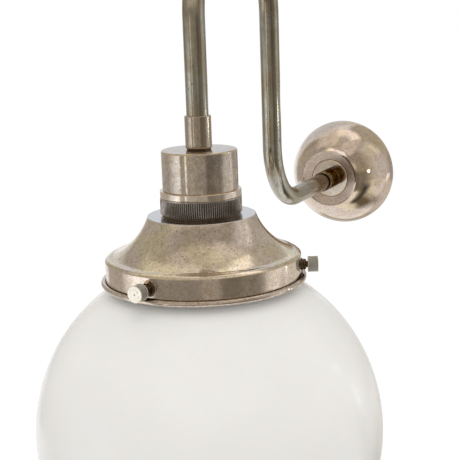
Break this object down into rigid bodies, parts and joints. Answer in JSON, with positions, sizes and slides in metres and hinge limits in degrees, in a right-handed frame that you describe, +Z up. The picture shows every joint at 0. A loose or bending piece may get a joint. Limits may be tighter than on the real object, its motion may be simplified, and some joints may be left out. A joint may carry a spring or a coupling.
{
  "type": "wall light",
  "caption": "Swan-neck wall light with an opal glass globe held by thumbscrews in a flared metal gallery, on a domed wall rose.",
  "frame": {"origin": "centre of the wall face, midway between the two wall screw slots, on the axis of the tube's horizontal run", "axes": "+Z up, +Y into the wall, the lamp hangs on a vertical axis towards -Y"},
  "size_m": [0.2032, 0.3581, 0.3984],
  "materials": {
    "antique_silver": "aged silver plate over brass, polished but mottled",
    "dark_knurl": "dark oxidised brass with fine knurling",
    "bright_nickel": "bright nickel plate, fine knurling",
    "screw_steel": "dark threaded steel",
    "zinc_steel": "zinc plated steel",
    "raw_brass": "plain turned brass",
    "white_plastic": "moulded plastic",
    "lead_sheath": "flexible sheath",
    "white_ceramic": "unglazed ceramic",
    "opal_glass": "glossy opal glass",
    "bulb_glass": "frosted glass",
    "bulb_metal": "bright pressed metal"
  },
  "bodies": {
    "wall_arm": {"wall_rose": "antique_silver", "rose_collar": "antique_silver", "wall_coupler": "antique_silver", "arm_tube": "antique_silver", "front_coupler": "antique_silver", "seat_washer": "antique_silver", "lampholder_cap": "antique_silver", "rim_ring": "antique_silver", "knurled_ring": "dark_knurl", "shadow_ring": "dark_knurl", "wall_bracket": "zinc_steel", "wall_nuts": "zinc_steel", "wall_nipple": "zinc_steel", "holder_nipple": "zinc_steel", "cap_nut": "zinc_steel", "terminal_screws": "raw_brass", "earth_screw": "raw_brass", "core_screws": "raw_brass", "holder_body": "raw_brass", "screw_shell": "raw_brass", "centre_contact": "raw_brass", "terminal_block": "white_plastic", "inner_lead": "lead_sheath", "holder_core": "white_ceramic"},
    "gallery_body": {"gallery": "antique_silver", "screw_bosses": "antique_silver", "globe": "opal_glass"},
    "lock_ring": {"lock_ring": "raw_brass"},
    "bulb_travel_body": {"bulb_tip": "bulb_metal"},
    "bulb_body": {"bulb_cap": "bulb_metal", "bulb_glass": "bulb_glass"},
    "screw_1_shank": {"thumbscrew_shank_1": "screw_steel"},
    "screw_1_head": {"thumbscrew_head_1": "bright_nickel"},
    "screw_2_shank": {"thumbscrew_shank_2": "screw_steel"},
    "screw_2_head": {"thumbscrew_head_2": "bright_nickel"},
    "screw_3_shank": {"thumbscrew_shank_3": "screw_steel"},
    "screw_3_head": {"thumbscrew_head_3": "bright_nickel"}
  },
  "joints": [
    {"name": "gallery_drop", "type": "slide", "parent": "wall_arm", "child": "gallery_body", "axis": [0, 0, -1], "range_m": [0, 0.008]},
    {"name": "lock_ring_turn", "type": "hinge", "parent": "gallery_body", "child": "lock_ring", "pos_m": [0, -0.2565, 0.011], "axis": [0, 0, -1], "range_deg": [0, 1440]},
    {"name": "bulb_travel", "type": "slide", "parent": "wall_arm", "child": "bulb_travel_body", "axis": [0, 0, -1], "range_m": [0, 0.024]},
    {"name": "bulb_turn", "type": "hinge", "parent": "bulb_travel_body", "child": "bulb_body", "pos_m": [0, -0.2565, 0], "axis": [0, 0, -1], "range_deg": [0, 2382]},
    {"name": "screw_1_travel", "type": "slide", "parent": "gallery_body", "child": "screw_1_shank", "axis": [0.9239, 0.3827, 0], "range_m": [0, 0.0045]},
    {"name": "screw_1_turn", "type": "hinge", "parent": "screw_1_shank", "child": "screw_1_head", "pos_m": [0.05497, -0.23373, -0.01524], "axis": [0.9239, 0.3827, 0], "range_deg": [0, 2315]},
    {"name": "screw_2_travel", "type": "slide", "parent": "gallery_body", "child": "screw_2_shank", "axis": [-0.7934, 0.6088, 0], "range_m": [0, 0.0045]},
    {"name": "screw_2_turn", "type": "hinge", "parent": "screw_2_shank", "child": "screw_2_head", "pos_m": [-0.0472, -0.22028, -0.01524], "axis": [-0.7934, 0.6088, 0], "range_deg": [0, 2315]},
    {"name": "screw_3_travel", "type": "slide", "parent": "gallery_body", "child": "screw_3_shank", "axis": [-0.1305, -0.9914, 0], "range_m": [0, 0.0045]},
    {"name": "screw_3_turn", "type": "hinge", "parent": "screw_3_shank", "child": "screw_3_head", "pos_m": [-0.00777, -0.31549, -0.01524], "axis": [-0.1305, -0.9914, 0], "range_deg": [0, 2315]}
  ],
  "couplings": [
    {"joint": "lock_ring_turn", "follows": "gallery_drop", "rad_per_m": 3141.6},
    {"joint": "bulb_turn", "follows": "bulb_travel", "rad_per_m": 1731.6},
    {"joint": "screw_1_turn", "follows": "screw_1_travel", "rad_per_m": 8976},
    {"joint": "screw_2_turn", "follows": "screw_2_travel", "rad_per_m": 8976},
    {"joint": "screw_3_turn", "follows": "screw_3_travel", "rad_per_m": 8976}
  ]
}
